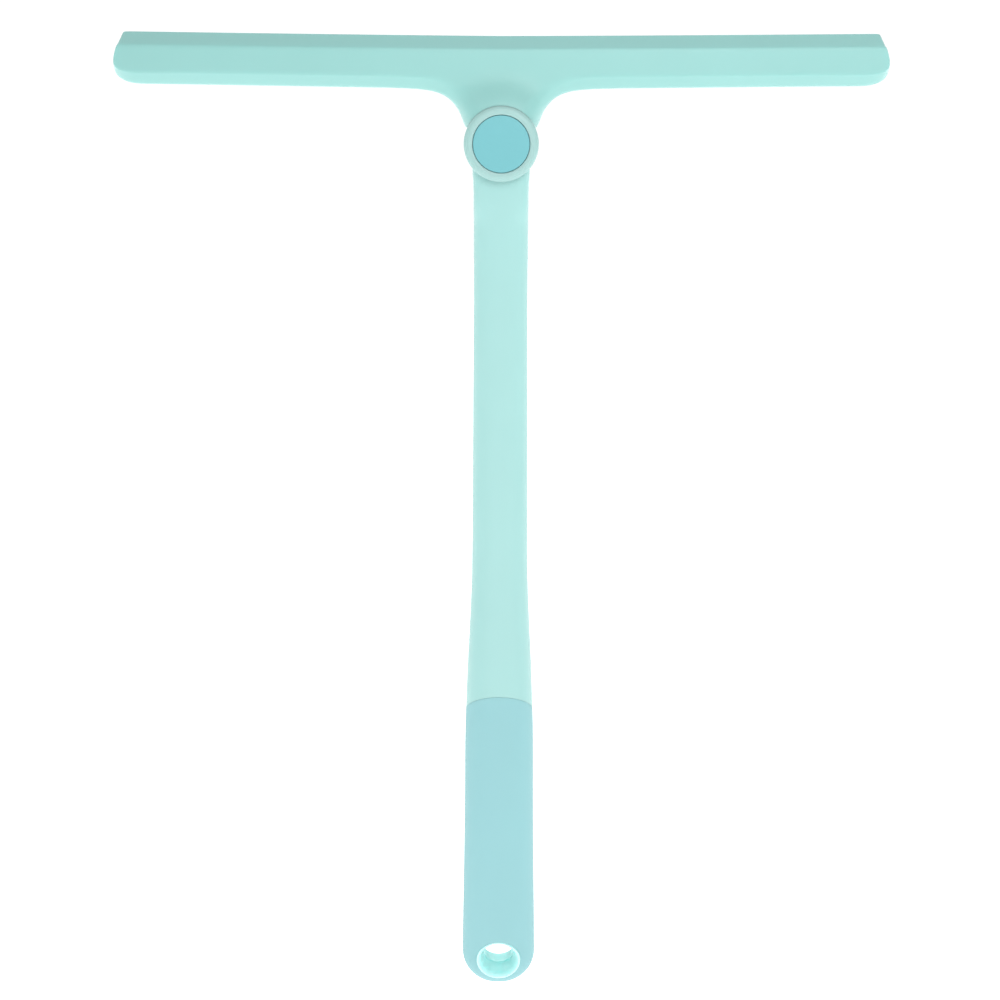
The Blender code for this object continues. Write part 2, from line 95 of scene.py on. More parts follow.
# hub along Y
RING_R = 14.6
RING_IN_R = 11.15
RING_FRONT = -12.0
RING_STEP_R = 12.5
RING_SEAT_Y = -10.6
EAR_R = 14.0
EAR_FRONT = -9.0
EAR_RECESS = -6.6
EAR_INNER = 4.2
COLLAR_R = 7.0
COLLAR_END = 0.8
STEM_R = 5.2
STEM_BORE_R = 3.6
CUP_R = 9.9
CUP_FLOOR = 8.6
CUP_BACK = 9.9
CAP_BACK = 12.9
CAP_R = 13.2
BUTTON_R = 10.98
SEAT_R = 13.7
SHOULDER_Z = -11.5

# blade head
BAR_HALF = 151.15
HEAD_FRONT = 5.8
HEAD_BACK_SHARE = 0.9
EDGE_HALF = 1.5
NECK_CLEAR_R = 14.66
NECK_END_ANGLE = 65.5
CROWN = 1.375
CROWN_POWER = 1.25
LIP_Z = 42.7
BAR_BOTTOM_Z = 20.75
BAR_BOTTOM_RISE = 0.0131
LIP_DEPTH = 5.3
CHAMFER = 4.4
NECK_START = (46.0, 21.35)
NECK_TOP_Z = 30.0
NECK_FADE_X = (16.0, 32.0)
NECK_SWELL = 4.95
NECK_SWELL_R = (13.0, 30.0)
CORE_HALF_W = 12.7
CORE_TOP_Z = 24.0
CORE_HALF_Y = 3.5
END_POINTS = [(143.0, 42.6, 1.0, 143.0, 37.3), (146.2, 42.56, 1.0, 147.2, 37.28),
              (147.1, 42.2, 1.0, 148.1, 37.25), (147.8, 40.9, 0.8, 148.6, 37.2),
              (148.7, 38.8, 0.5, 149.0, 37.05), (149.7, 36.6, 0.15, 149.3, 36.4),
              (150.5, 34.4, 0.0, 149.9, 34.4), (151.05, 32.1, 0.0, 150.35, 32.2),
              (151.1, 29.8, 0.0, 150.3, 30.3), (150.6, 27.5, 0.0, 149.6, 28.9),
              (149.5, 25.6, 0.0, 148.2, 28.0), (147.5, 24.1, 0.0, 146.2, 27.4),
              (144.7, 23.1, 0.0, 143.9, 27.0), (141.0, 22.6, 0.0, 140.6, 26.8),
              (134.0, 22.45, 0.0, 134.0, 26.7)]
NECK_POINTS = [(37.0, 21.1), (31.5, 20.75), (27.3, 20.15), (24.2, 19.25), (21.8, 18.1), (19.8, 16.6),
               (18.1, 14.75), (16.9, 13.0), (16.1, 11.4), (15.5, 9.9), (15.0, 8.5), (14.5, 7.4),
               (13.9, 6.4), (13.2, 5.4)]

# camera and light table, the floor in metres
LENS_MM = 80.35
CAMERA_DISTANCE = 900.0
CAMERA_DROP = 10.0
CAMERA_ROLL = 0.2
AIM_BELOW_HUB = 141.95
FLOOR_Z = -0.70
FLOOR_GLOW = 1.8

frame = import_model()


# ---------------------------------------------------------------- curves and frames

def smooth(pairs, s):
    """Smooth curve through a table of (s, value)."""
    if s <= pairs[0][0]:
        return pairs[0][1]
    if s >= pairs[-1][0]:
        return pairs[-1][1]
    k = max(i for i, p in enumerate(pairs[:-1]) if p[0] <= s)

    def slope(i):
        if i == 0 or i == len(pairs) - 1:
            return 0.0
        return (pairs[i + 1][1] - pairs[i - 1][1]) / (pairs[i + 1][0] - pairs[i - 1][0])

    (s0, v0), (s1, v1) = pairs[k], pairs[k + 1]
    h = s1 - s0
    t = (s - s0) / h
    return ((2 * t ** 3 - 3 * t ** 2 + 1) * v0 + (t ** 3 - 2 * t ** 2 + t) * h * slope(k)
            + (3 * t ** 2 - 2 * t ** 3) * v1 + (t ** 3 - t ** 2) * h * slope(k + 1))


def step01(t):
    """Smooth step from 0 to 1."""
    t = min(1.0, max(0.0, t))
    return t * t * (3 - 2 * t)


def span(a, b, pitch):
    """Evenly spaced values from a to b, both ends included."""
    n = max(1, round(abs(b - a) / pitch))
    return [a + (b - a) * k / n for k in range(n + 1)]


def tilt(s):
    """Lean of the handle at distance s down from the swivel axis."""
    return max(0.0, s - ARC_START) / ARC_R


def centre(s):
    """Point of the handle's centreline."""
    a = tilt(s)
    return Vector((0.0, ARC_R * (1 - math.cos(a)), -min(s, ARC_START) - ARC_R * math.sin(a)))


# place of the hub in the row frame
HUB = -centre(GRIP_MID_S)


def place(s, x, y):
    """Hub-frame point at distance s down the handle, x across and y front to back."""
    a = tilt(s)
    return centre(s) + Vector((x, y * math.cos(a), y * math.sin(a)))


def lean(s):
    """Matrix that sets a shape turned about Y at distance s down the handle."""
    return Matrix.Translation(centre(s)) @ Matrix.Rotation(tilt(s), 4, "X")


# ---------------------------------------------------------------- mesh helpers

def finish_mesh(name, bm, matrix=None, sharp=35.0):
    """Object in the row frame from hub-frame millimetres."""
    bmesh.ops.recalc_face_normals(bm, faces=bm.faces)
    if matrix:
        bm.transform(matrix)
    bm.transform(Matrix.Scale(MM, 4) @ Matrix.Translation(HUB))
    mesh = bpy.data.meshes.new(name)
    bm.to_mesh(mesh)
    bm.free()
    mesh.shade_smooth()
    mesh.set_sharp_from_angle(angle=math.radians(sharp))
    obj = bpy.data.objects.new(name, mesh)
    bpy.context.scene.collection.objects.link(obj)
    return obj


def add_loft(bm, rings, closed=False, caps=True):
    """Skin through rings of points, with flat caps or closed on itself."""
    loops = [[bm.verts.new(p) for p in ring] for ring in rings]
    pairs = list(zip(loops, loops[1:]))
    if closed:
        pairs.append((loops[-1], loops[0]))
    for a, b in pairs:
        for i in range(len(a)):
            j = (i + 1) % len(a)
            bm.faces.new((a[i], a[j], b[j], b[i]))
    if caps and not closed:
        bm.faces.new(loops[0])
        bm.faces.new(list(reversed(loops[-1])))
    return loops


def lathe(name, profile, segments=96, closed=True, matrix=None, sharp=35.0):
    """Revolve (radius, y) points about Y; an open profile gets flat ends."""
    phase = 0.0 if closed else 0.31
    angles = [2 * PI * (i + phase) / segments for i in range(segments)]
    bm = bmesh.new()
    add_loft(bm, [[(r * math.cos(a), y, r * math.sin(a)) for a in angles] for r, y in profile], closed)
    return finish_mesh(name, bm, matrix, sharp)


def prism(name, outline, y0, y1):
    """Straight body over an (x, z) outline, from y0 to y1."""
    bm = bmesh.new()
    add_loft(bm, [[(x, y, z) for x, z in outline] for y in (y0, y1)])
    return finish_mesh(name, bm)


def disc(r, y0, y1):
    """Profile of a plain cylinder."""
    return [(r, y0), (r, y1)]


def rounded(points, radii, steps=5):
    """Polyline with its inner corners rounded by the given radii, as evenly cut quadratic arcs."""
    out = [points[0]]
    for i in range(1, len(points) - 1):
        p, c, q = (Vector(points[k]) for k in (i - 1, i, i + 1))
        r = radii[i]
        if r <= 0:
            out.append(tuple(c))
            continue
        a = c + (p - c).normalized() * min(r, (p - c).length * 0.49)
        b = c + (q - c).normalized() * min(r, (q - c).length * 0.49)
        for k in range(steps + 1):
            t = k / steps
            out.append(tuple(a * (1 - t) ** 2 + c * 2 * t * (1 - t) + b * t * t))
    out.append(points[-1])
    return out


def combine(obj, tools):
    """Cut or join tools with an object and keep only the result; tools are (object, operation)."""
    for tool, operation in tools:
        mod = obj.modifiers.new(tool.name, "BOOLEAN")
        mod.operation = operation
        mod.solver = "EXACT"
        mod.object = tool
    bpy.context.view_layer.update()
    result = bpy.data.meshes.new_from_object(obj.evaluated_get(bpy.context.evaluated_depsgraph_get()))
    obj.modifiers.clear()
    obj.data = result
    for tool, _ in tools:
        bpy.data.objects.remove(tool, do_unlink=True)
    obj.data.shade_smooth()
    obj.data.set_sharp_from_angle(angle=math.radians(33))
    return obj


# ---------------------------------------------------------------- materials

def srgb(code):
    """Linear colour of a six-digit hex code."""
    values = [int(code[i:i + 2], 16) / 255 for i in (0, 2, 4)]
    return tuple(v / 12.92 if v <= 0.04045 else ((v + 0.055) / 1.055) ** 2.4 for v in values)


def moulded(name, colour, roughness, grain=0.2, grain_size=0.35, waves=0.05, soft=0.0, sheen=0.0, mottle=0.03,
            scatter=(0.004, 0.006, 0.006)):
    """Moulded plastic or rubber: faint mottle, fine surface grain, long soft waves and uneven gloss."""
    mat = bpy.data.materials.new(name)
    mat.use_nodes = True
    nodes, links = mat.node_tree.nodes, mat.node_tree.links
    shader = nodes["Principled BSDF"]
    shader.inputs["Roughness"].default_value = roughness
    shader.inputs["IOR"].default_value = 1.46
    shader.inputs["Subsurface Weight"].default_value = soft
    shader.inputs["Subsurface Radius"].default_value = scatter
    shader.inputs["Subsurface Scale"].default_value = 1.0
    shader.inputs["Sheen Weight"].default_value = sheen
    shader.inputs["Sheen Roughness"].default_value = 0.45
    where = nodes.new("ShaderNodeTexCoord")

    def noise(size_mm, detail):
        node = nodes.new("ShaderNodeTexNoise")
        node.inputs["Scale"].default_value = 1000.0 / size_mm
        node.inputs["Detail"].default_value = detail
        links.new(where.outputs["Object"], node.inputs["Vector"])
        return node.outputs["Fac"]

    tint = nodes.new("ShaderNodeMix")
    tint.data_type = "RGBA"
    tint.inputs[6].default_value = (*(c * (1 - mottle) for c in colour), 1)
    tint.inputs[7].default_value = (*(min(1, c * (1 + mottle)) for c in colour), 1)
    links.new(noise(38.0, 3.0), tint.inputs[0])
    links.new(tint.outputs[2], shader.inputs["Base Color"])
    gloss = nodes.new("ShaderNodeMapRange")
    gloss.inputs["To Min"].default_value = roughness - 0.05
    gloss.inputs["To Max"].default_value = roughness + 0.06
    links.new(noise(9.0, 4.0), gloss.inputs["Value"])
    links.new(gloss.outputs["Result"], shader.inputs["Roughness"])
    fine = nodes.new("ShaderNodeBump")
    fine.inputs["Strength"].default_value = grain
    fine.inputs["Distance"].default_value = 0.00003
    links.new(noise(grain_size, 2.0), fine.inputs["Height"])
    long = nodes.new("ShaderNodeBump")
    long.inputs["Strength"].default_value = waves
    long.inputs["Distance"].default_value = 0.0006
    links.new(noise(22.0, 1.0), long.inputs["Height"])
    links.new(fine.outputs["Normal"], long.inputs["Normal"])
    links.new(long.outputs["Normal"], shader.inputs["Normal"])
    return mat


def plated(name, colour, roughness):
    """Bright-plated steel with turning marks and uneven gloss."""
    mat = bpy.data.materials.new(name)
    mat.use_nodes = True
    nodes, links = mat.node_tree.nodes, mat.node_tree.links
    shader = nodes["Principled BSDF"]
    shader.inputs["Base Color"].default_value = (*colour, 1)
    shader.inputs["Metallic"].default_value = 1.0
    where = nodes.new("ShaderNodeTexCoord")
    grain = nodes.new("ShaderNodeTexNoise")
    grain.inputs["Scale"].default_value = 1800.0
    grain.inputs["Detail"].default_value = 5.0
    links.new(where.outputs["Object"], grain.inputs["Vector"])
    gloss = nodes.new("ShaderNodeMapRange")
    gloss.inputs["To Min"].default_value = roughness - 0.07
    gloss.inputs["To Max"].default_value = roughness + 0.12
    links.new(grain.outputs["Fac"], gloss.inputs["Value"])
    links.new(gloss.outputs["Result"], shader.inputs["Roughness"])
    bump = nodes.new("ShaderNodeBump")
    bump.inputs["Strength"].default_value = 0.2
    bump.inputs["Distance"].default_value = 0.00003
    links.new(grain.outputs["Fac"], bump.inputs["Height"])
    links.new(bump.outputs["Normal"], shader.inputs["Normal"])
    return mat


HANDLE = moulded("handle_plastic", srgb("8CB7B4"), 0.42, grain=0.12, grain_size=0.5, waves=0.04, soft=0.12,
                 sheen=0.15)
# Copy of the handle plastic made greyer and darker for the hub's ring: painted shade, not a different plastic.
RING_SHADED = moulded("ring_plastic_painted_shade", srgb("88ABA8"), 0.42, grain=0.12, grain_size=0.5, waves=0.04, soft=0.12,
               sheen=0.15)
SILICONE = moulded("blade_silicone", srgb("7DAEAA"), 0.40, grain=0.10, grain_size=0.6, waves=0.06, soft=0.18,
                   sheen=0.4)
CORE = moulded("core_plastic", srgb("8EBCB7"), 0.45, grain=0.12, grain_size=0.5)
GRIP = moulded("grip_rubber", srgb("7DACB0"), 0.58, grain=0.35, grain_size=0.3, waves=0.03, soft=0.08,
               sheen=0.06)
BUTTON = moulded("button_plastic", srgb("5E9FA5"), 0.46, grain=0.18, grain_size=0.35, waves=0.02)
# Copy of the handle plastic made much lighter for the hole's liner: painted light inside the hanging hole, on
# top of real subsurface scattering.
LINER_LIT = moulded("liner_plastic_painted_light", srgb("AFE5E3"), 0.36, grain=0.08, grain_size=0.5, soft=0.6,
                scatter=(0.003, 0.006, 0.006))
LOCK = moulded("lock_plastic", (0.72, 0.73, 0.74), 0.42)
WASHER = moulded("washer_plastic", (0.85, 0.85, 0.83), 0.5)
STEEL = plated("plated_steel", (0.60, 0.61, 0.63), 0.28)


def dress(obj, mat, body, slot, *nodes):
    """Give a piece its material and body, and let it stand for its CAD nodes; slot is not used."""
    obj.data.materials.clear()
    obj.data.materials.append(mat)
    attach(obj, body)
    if nodes:
        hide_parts(*nodes)
    return obj


# ---------------------------------------------------------------- handle

def half_sizes(s, inset):
    """Half width and half thickness, inset inside the skin; past END_S the end rounds off."""
    if s <= END_S:
        return smooth(HALF_WIDTH, s) - inset, smooth(HALF_THICK, s) - inset
    width, thick = END_R - inset, smooth(HALF_THICK, END_S) - inset
    over = min(0.9995, (s - END_S) / width)
    return width * math.sqrt(1 - over * over), thick * (1 - over ** SECTION_POWER) ** (1 / SECTION_POWER)


def squareness(s):
    """Power of the section's curve: squarer beside the hub, rounder down the handle."""
    first, last = HUB_POWER_S
    return SECTION_POWER + (HUB_POWER - SECTION_POWER) * step01((last - s) / (last - first))


def oblong(half_w, half_t, angle, s):
    """Point of the rounded-oblong section, its front towards -Y."""
    p = 2 / squareness(s)
    c, q = math.cos(angle), math.sin(angle)
    return half_w * math.copysign(abs(c) ** p, c), -half_t * math.copysign(abs(q) ** p, q)


def lift(u):
    """Share of the grip's arch at u, the place across the handle from -1 to 1."""
    return (1 - min(1.0, abs(u)) ** ARCH_POWER) ** (1 / ARCH_POWER)


def section(s, inset, arch, count):
    """Closed ring of the handle; arch lifts its front and back towards the hub."""
    half_w, half_t = half_sizes(s, inset)
    ring = []
    for i in range(count):
        x, y = oblong(half_w, half_t, 2 * PI * i / count, s)
        ring.append(place(s - arch * lift(x / half_w), x, y))
    return ring


def half_section(s, side, inset, arch, hollow, outer=56, inner=16):
    """Ring of one shell: its outer skin, then back along the hollow or the joint."""
    half_w, half_t = half_sizes(s, inset)
    ring = []
    for k in range(outer + 1):
        x, y = oblong(half_w, half_t, PI * k / outer, s)
        ring.append(place(s - arch * lift(x / half_w), x, side * max(SEAM, abs(y))))
    in_w, in_t = max(0.2, half_w - SHELL_WALL), (half_t - SHELL_WALL if hollow else 0.0)
    for k in range(inner, -1, -1):
        x, y = oblong(in_w, in_t, PI * k / inner, s)
        ring.append(place(s - arch * lift(x / half_w), x, side * max(SEAM, abs(y))))
    return ring


def end_stations(inset, steps):
    """Distances of the rings round the handle's end, stopping just short of the tip."""
    reach = END_R - inset
    shares = [math.sin(PI / 2 * k / steps) for k in range(1, steps)] + [TIP_REACH]
    return [END_S + reach * share for share in shares]


def arch_down(s, start, length):
    """Arch of the grip's edge, dying away over a length below its start."""
    return GRIP_ARCH * (1 - step01((s - start) / length))


def shell_body(side):
    """Half of the handle: a long smooth skin, a crisp step at the grip's edge, a plain stem in the grip."""
    under = GRIP_WALL + GRIP_ROOM
    step = GRIP_SIDE_S - 0.03
    hollow_from, hollow_to = CAVITY_S
    plan = [(s, 0, 0, 0) for s in (0, 8, 16, 20, 22, 24, 25.5, hollow_from)]
    plan += [(s, 0, 0, 1) for s in [hollow_from + 0.6, 29, 30.5, 32] + span(35, 186, 4.0)]
    plan += [(s, 0, GRIP_ARCH * step01((s - 186) / 40), 1) for s in span(189, step - 0.5, 2.5)]
    plan += [(step - 0.07, 0, GRIP_ARCH, 1), (step, 0.08, GRIP_ARCH, 1), (step + 0.02, under, GRIP_ARCH, 1)]
    plan += [(s, under, arch_down(s, 234, 26), 1) for s in span(240, 262, 5)]
    plan += [(s, under, 0, 1) for s in span(270, hollow_to, 12)]
    plan += [(s, under, 0, 0) for s in [hollow_to + 0.6, END_S] + end_stations(under, 8)]
    bm = bmesh.new()
    add_loft(bm, [half_section(s, side, inset, arch, hollow) for s, inset, arch, hollow in plan])
    return bm


def slot_outline():
    """Room for the tongue between the ears: a round seat with level shoulders at its sides."""
    reach = math.asin(-SHOULDER_Z / SEAT_R)
    turns = [reach - PI + (PI - 2 * reach) * k / 32 for k in range(33)]
    arc = [(SEAT_R * math.cos(a), SEAT_R * math.sin(a)) for a in turns]
    return [(-30, SHOULDER_Z)] + arc + [(30, SHOULDER_Z), (30, 30), (-30, 30)]


def shell(name, side, node):
    """One half of the handle with its ear, bosses and holes; side is -1 in front and 1 behind."""
    body = finish_mesh(name, shell_body(side))
    tools = []
    for i, s in enumerate(SCREW_S):
        ends = sorted((side * SEAM, side * (smooth(HALF_THICK, s) - 1.2)))
        tools.append((lathe(f"t_boss_{i}", disc(BOSS_R, *ends), 30, False, lean(s)), "UNION"))
    if side < 0:
        drum = rounded([(EAR_R - 3, EAR_FRONT), (EAR_R, EAR_FRONT), (EAR_R, 2 - EAR_INNER)], [0, 0.35, 0])
    else:
        drum = rounded([(EAR_R, EAR_INNER - 2), (EAR_R, CUP_BACK), (EAR_R - 3, CUP_BACK)], [0, 0.5, 0])
    tools.append((lathe("t_drum", drum, 120, False), "UNION"))
    tools.append((prism("t_slot", slot_outline(), -EAR_INNER, EAR_INNER), "DIFFERENCE"))
    eye = lathe("t_eye", disc(EYE_IN_SHELL_R, -THROUGH, THROUGH), 90, False, lean(EYELET_S))
    tools.append((eye, "DIFFERENCE"))
    for i, s in enumerate(SCREW_S):
        if side < 0:
            hole = disc(SCREW_HOLE_R, -5.0, 2.0)
        else:
            hole = [(SCREW_HOLE_R, -2.0), (SCREW_HOLE_R, SCREW_SEAT_Y), (SCREW_WELL_R, SCREW_SEAT_Y),
                    (SCREW_WELL_R, 6.4), (3.0, 7.2), (3.6, 14.0)]
        tools.append((lathe(f"t_hole_{i}", hole, 28, False, lean(s)), "DIFFERENCE"))
    if side < 0:
        recess = disc(RING_STEP_R, EAR_FRONT - 2, EAR_RECESS)
        tools.append((lathe("t_recess", recess, 96, False), "DIFFERENCE"))
        tools.append((lathe("t_collar", disc(COLLAR_R, EAR_RECESS + 0.5, COLLAR_END), 64, False), "UNION"))
        tools.append((lathe("t_bore", disc(STEM_R + 0.35, -12, 3), 56, False), "DIFFERENCE"))
    else:
        tools.append((lathe("t_cup", disc(CUP_R, 1, CUP_FLOOR), 80, False), "DIFFERENCE"))
    return dress(combine(body, tools), HANDLE, "handle", "handle_plastic", node)


def grip():
    """Rubber sock with a rounded top edge and the hole for the eyelet."""
    count = 128
    edge = [section(GRIP_SIDE_S + ds, inset, GRIP_ARCH, count)
            for ds, inset in ((0.24, 0.0), (0.13, 0.015), (0.05, 0.05), (0.01, 0.13), (0.0, 0.24))]
    down = [section(s, 0, arch_down(s, 234.2, 30), count) for s in span(236.5, 266, 2.5)]
    down += [section(s, 0, 0, count) for s in span(270, END_S, 4.0)]
    down += [section(s, 0, 0, count) for s in end_stations(0, 22)]
    inner = [section(GRIP_SIDE_S, GRIP_WALL, GRIP_ARCH, count)]
    inner += [section(s, GRIP_WALL, arch_down(s, 234, 26), count) for s in span(240, 262, 5)]
    inner += [section(s, GRIP_WALL, 0, count) for s in span(270, END_S, 12)]
    inner += [section(s, GRIP_WALL, 0, count) for s in end_stations(GRIP_WALL, 8)]
    bm = bmesh.new()
    add_loft(bm, list(reversed(down)) + edge + inner)
    body = finish_mesh("grip_skin", bm)
    hole = lathe("t_grip_eye", disc(EYE_IN_GRIP_R, -THROUGH, THROUGH), 128, False, lean(EYELET_S))
    dress(combine(body, [(hole, "DIFFERENCE")]), GRIP, "handle", "grip_rubber", "grip_sleeve")


def eyelet():
    """Liner of the hanging hole: rounded lips, walls that narrow to a fine ridge where the halves meet."""
    lip = -EYE_HALF
    lips = rounded([(9.5, lip + 0.9), (9.35, lip - 0.05), (8.75, lip), (7.5, lip + 1.75), (7.3, -3.4)],
                   [0, 0.5, 0.8, 1.3, 0], 8)
    front = [(9.5, 0.0), (9.5, lip + 1.2)] + lips + [(7.15, -1.6), (6.98, -0.5), (6.92, -0.12), (6.84, 0.0)]
    back = [(r - 0.3 * step01((8.9 - r) / 1.2), -y) for r, y in reversed(front[1:-1])]
    liner = lathe("eyelet_skin", front + back, 128, True, lean(EYELET_S), 50)
    # The liner takes the lightened copy of the handle plastic: painted light in the hole.
    dress(liner, LINER_LIT, "handle", "handle_plastic", "eyelet_liner")


def screws():
    """Pan-head screws in their wells, with a cross drive."""
    for i, s in enumerate(SCREW_S):
        seat = SCREW_SEAT_Y + 0.15
        profile = [(0.5, -4.4), (SCREW_R, -3.4), (SCREW_R, seat)]
        head = [(SCREW_HEAD_R, seat), (SCREW_HEAD_R, seat + 1.0), (1.2, seat + 1.6), (0.3, seat + 1.65)]
        profile += rounded(head, [0, 0.5, 0.4, 0])
        body = lathe(f"screw_skin_{i + 1}", profile, 48, False, lean(s))
        bars = []
        for k, (a, b) in enumerate(((1.45, 0.28), (0.28, 1.45))):
            bar = prism(f"t_drive_{k}", [(-a, -b), (a, -b), (a, b), (-a, b)], seat + 0.7, seat + 3)
            bar.data.transform(Matrix.Scale(MM, 4) @ Matrix.Translation(HUB) @ lean(s)
                               @ Matrix.Translation(-HUB) @ Matrix.Scale(1 / MM, 4))
            bars.append((bar, "DIFFERENCE"))
        dress(combine(body, bars), STEEL, "handle", "plated_steel", f"handle_screw_{i + 1}")


# ---------------------------------------------------------------- hub

def bezel():
    """Ring round the button: a low dome that falls away to its outer edge."""
    f = RING_FRONT
    dome = [(RING_IN_R, RING_SEAT_Y), (RING_IN_R, f + 0.45), (RING_IN_R + 0.12, f + 0.22),
            (RING_IN_R + 0.34, f + 0.1), (11.9, f + 0.02), (12.5, f), (13.0, f + 0.06), (13.45, f + 0.18),
            (13.85, f + 0.38), (14.22, f + 0.66), (14.47, f + 0.98), (RING_R, f + 1.35),
            (RING_R, EAR_FRONT - 0.12), (RING_STEP_R, EAR_FRONT - 0.12), (RING_STEP_R, RING_SEAT_Y)]
    # The ring takes the greyer, darker copy of the handle plastic: painted shade.
    dress(lathe("bezel_skin", dome, 160, True, None, 50), RING_SHADED, "handle", "handle_plastic", "hub_bezel")


def button():
    """Nearly flat cap with a fine rounded edge, a flange under the ring and a hollow stem."""
    r = BUTTON_R
    face = [(0.4, -12.02), (4.0, -12.02), (7.5, -12.0)]
    side = rounded([(9.0, -11.98), (r, -11.92), (r, -10.3)], [0, 0.22, 0], 5)
    tail = [(12.1, -10.3), (12.1, -9.4), (STEM_R, -9.4), (STEM_R, 1.1),
            (STEM_BORE_R, 1.1), (STEM_BORE_R, -10.7)]
    body = lathe("button_skin", face + side + tail, 128, False, None, 50)
    dress(body, BUTTON, "button", "button_plastic", "release_button")


def rear_cap():
    """Flat cap with a rounded rim on the back of the hub."""
    profile = [(11.2, CAP_BACK - 0.9), (11.2, CUP_BACK + 0.12), (CAP_R, CUP_BACK + 0.12)]
    profile += rounded([(CAP_R, CUP_BACK + 0.4), (CAP_R, CAP_BACK), (3.0, CAP_BACK)], [0, 1.1, 0], 8)
    dress(lathe("rear_cap_skin", profile, 128, False), HANDLE, "handle", "handle_plastic", "rear_hub_cap")


# ---------------------------------------------------------------- blade head

def crown(x):
    """Dip of the lip's edge towards the middle of the bar."""
    return -CROWN * (1 - (x / BAR_HALF) ** CROWN_POWER)


def neck_share(x):
    """0 along the bar, rising to 1 on the neck."""
    near, far = NECK_FADE_X
    return step01((far - abs(x)) / (far - near))


def edge_points():
    """Right half of the head's edge, smooth, as (x, z, lip share, inner x, inner z)."""
    half = [(x, LIP_Z + crown(x), 1.0, x, LIP_Z + crown(x) - LIP_DEPTH) for x in range(0, 140, 9)]
    half += END_POINTS
    for x in (124, 115, 106, 97, 88, 79, 70, 61, 53, 46):
        low = BAR_BOTTOM_Z + BAR_BOTTOM_RISE * x
        half.append((x, low, 0.0, x, low + CHAMFER))
    for i, (x, z) in enumerate(NECK_POINTS):
        before = NECK_POINTS[i - 1] if i else NECK_START
        after = NECK_POINTS[min(i + 1, len(NECK_POINTS) - 1)]
        way = Vector((after[0] - before[0], after[1] - before[1])).normalized()
        wide = CHAMFER + neck_share(x)
        half.append((x, z, 0.0, x + way.y * wide, z - way.x * wide))
    return half


def spline(points, steps):
    """Smooth curve (Catmull-Rom) through points of any dimension."""
    out = []
    n = len(points)
    for i in range(n - 1):
        p0, p1, p2, p3 = (points[max(0, i - 1)], points[i], points[i + 1], points[min(n - 1, i + 2)])
        for k in range(steps):
            t = k / steps
            out.append(tuple(0.5 * (2 * b + (c - a) * t + (2 * a - 5 * b + 4 * c - d) * t * t
                                    + (3 * b - a - 3 * c + d) * t ** 3) for a, b, c, d in zip(p0, p1, p2, p3)))
    out.append(points[-1])
    return out


def edge_profiles():
    """Matching (fraction inwards, depth) profiles of lip, chamfered edge and rounded neck, edge to face."""
    lip = rounded([(0.0, 0.0), (0.0, 0.55), (1.0, HEAD_FRONT), (1.6, HEAD_FRONT)], [0, 0.12, 0.55, 0], 9)
    low = rounded([(0.0, 0.0), (0.0, EDGE_HALF), (1.0, HEAD_FRONT), (1.6, HEAD_FRONT)], [0, 0.9, 0.30, 0], 9)
    turn = [PI / 2 * k / (len(low) - 2) for k in range(len(low) - 1)]
    rise = HEAD_FRONT - EDGE_HALF
    neck = [(0.0, 0.0)] + [(1.6 * (1 - math.cos(a)), EDGE_HALF + rise * math.sin(a)) for a in turn]
    return list(zip(lip, low, neck))


def neck_ramp(x, z):
    """How far the neck swells towards the hub's ring."""
    near, far = NECK_SWELL_R
    return NECK_SWELL * step01((far - math.hypot(x, z)) / (far - near)) ** 1.5


def head_side(whole, side):
    """Edge rings of one face of the head, from its rim to the face."""
    loops = []
    for lip, low, neck in edge_profiles():
        ring = []
        for x, z, share, xi, zi in whole:
            share = min(1.0, max(0.0, share))
            fade = neck_share(x) if z < NECK_TOP_Z else 0.0
            part, depth = (lip[k] * share + (low[k] * (1 - fade) + neck[k] * fade) * (1 - share)
                           for k in (0, 1))
            ring.append((x + (xi - x) * part, side * depth, z + (zi - z) * part))
        loops.append(ring)
    return loops


def inside(border, x, z):
    """Whether a point lies inside a closed polygon."""
    odd = False
    for (ax, az), (bx, bz) in zip(border, border[1:] + border[:1]):
        if (az > z) != (bz > z) and x < ax + (z - az) * (bx - ax) / (bz - az):
            odd = not odd
    return odd


def fill_face(bm, loop, side, pitch=1.6):
    """Fine triangles over the area inside a loop of vertices."""
    border = [(v.co.x, v.co.z) for v in loop]
    low, high = min(z for _, z in border), max(z for _, z in border)
    reach = max(x for x, _ in border)
    points = [Vector(p) for p in border]
    for k in range(1, int((high - low) / pitch) + 1):
        z = low + k * pitch
        for i in range(-int(reach / pitch), int(reach / pitch) + 1):
            x = (i + 0.5 * (k % 2)) * pitch
            if inside(border, x, z) and min((x - a) ** 2 + (z - b) ** 2 for a, b in border) > 0.4:
                points.append(Vector((x, z)))
    edges = [(i, (i + 1) % len(border)) for i in range(len(border))]
    spots, _, faces, origins, _, _ = delaunay_2d_cdt(points, edges, [], 0, 1e-6, True)
    made = {}
    for face in faces:
        mid = sum((spots[i] for i in face), Vector((0.0, 0.0))) / len(face)
        if not inside(border, *mid):
            continue
        for i in face:
            if i not in made:
                known = [k for k in origins[i] if k < len(border)]
                spot = (spots[i].x, side * HEAD_FRONT, spots[i].y)
                made[i] = loop[known[0]] if known else bm.verts.new(spot)
        bm.faces.new([made[i] for i in face])


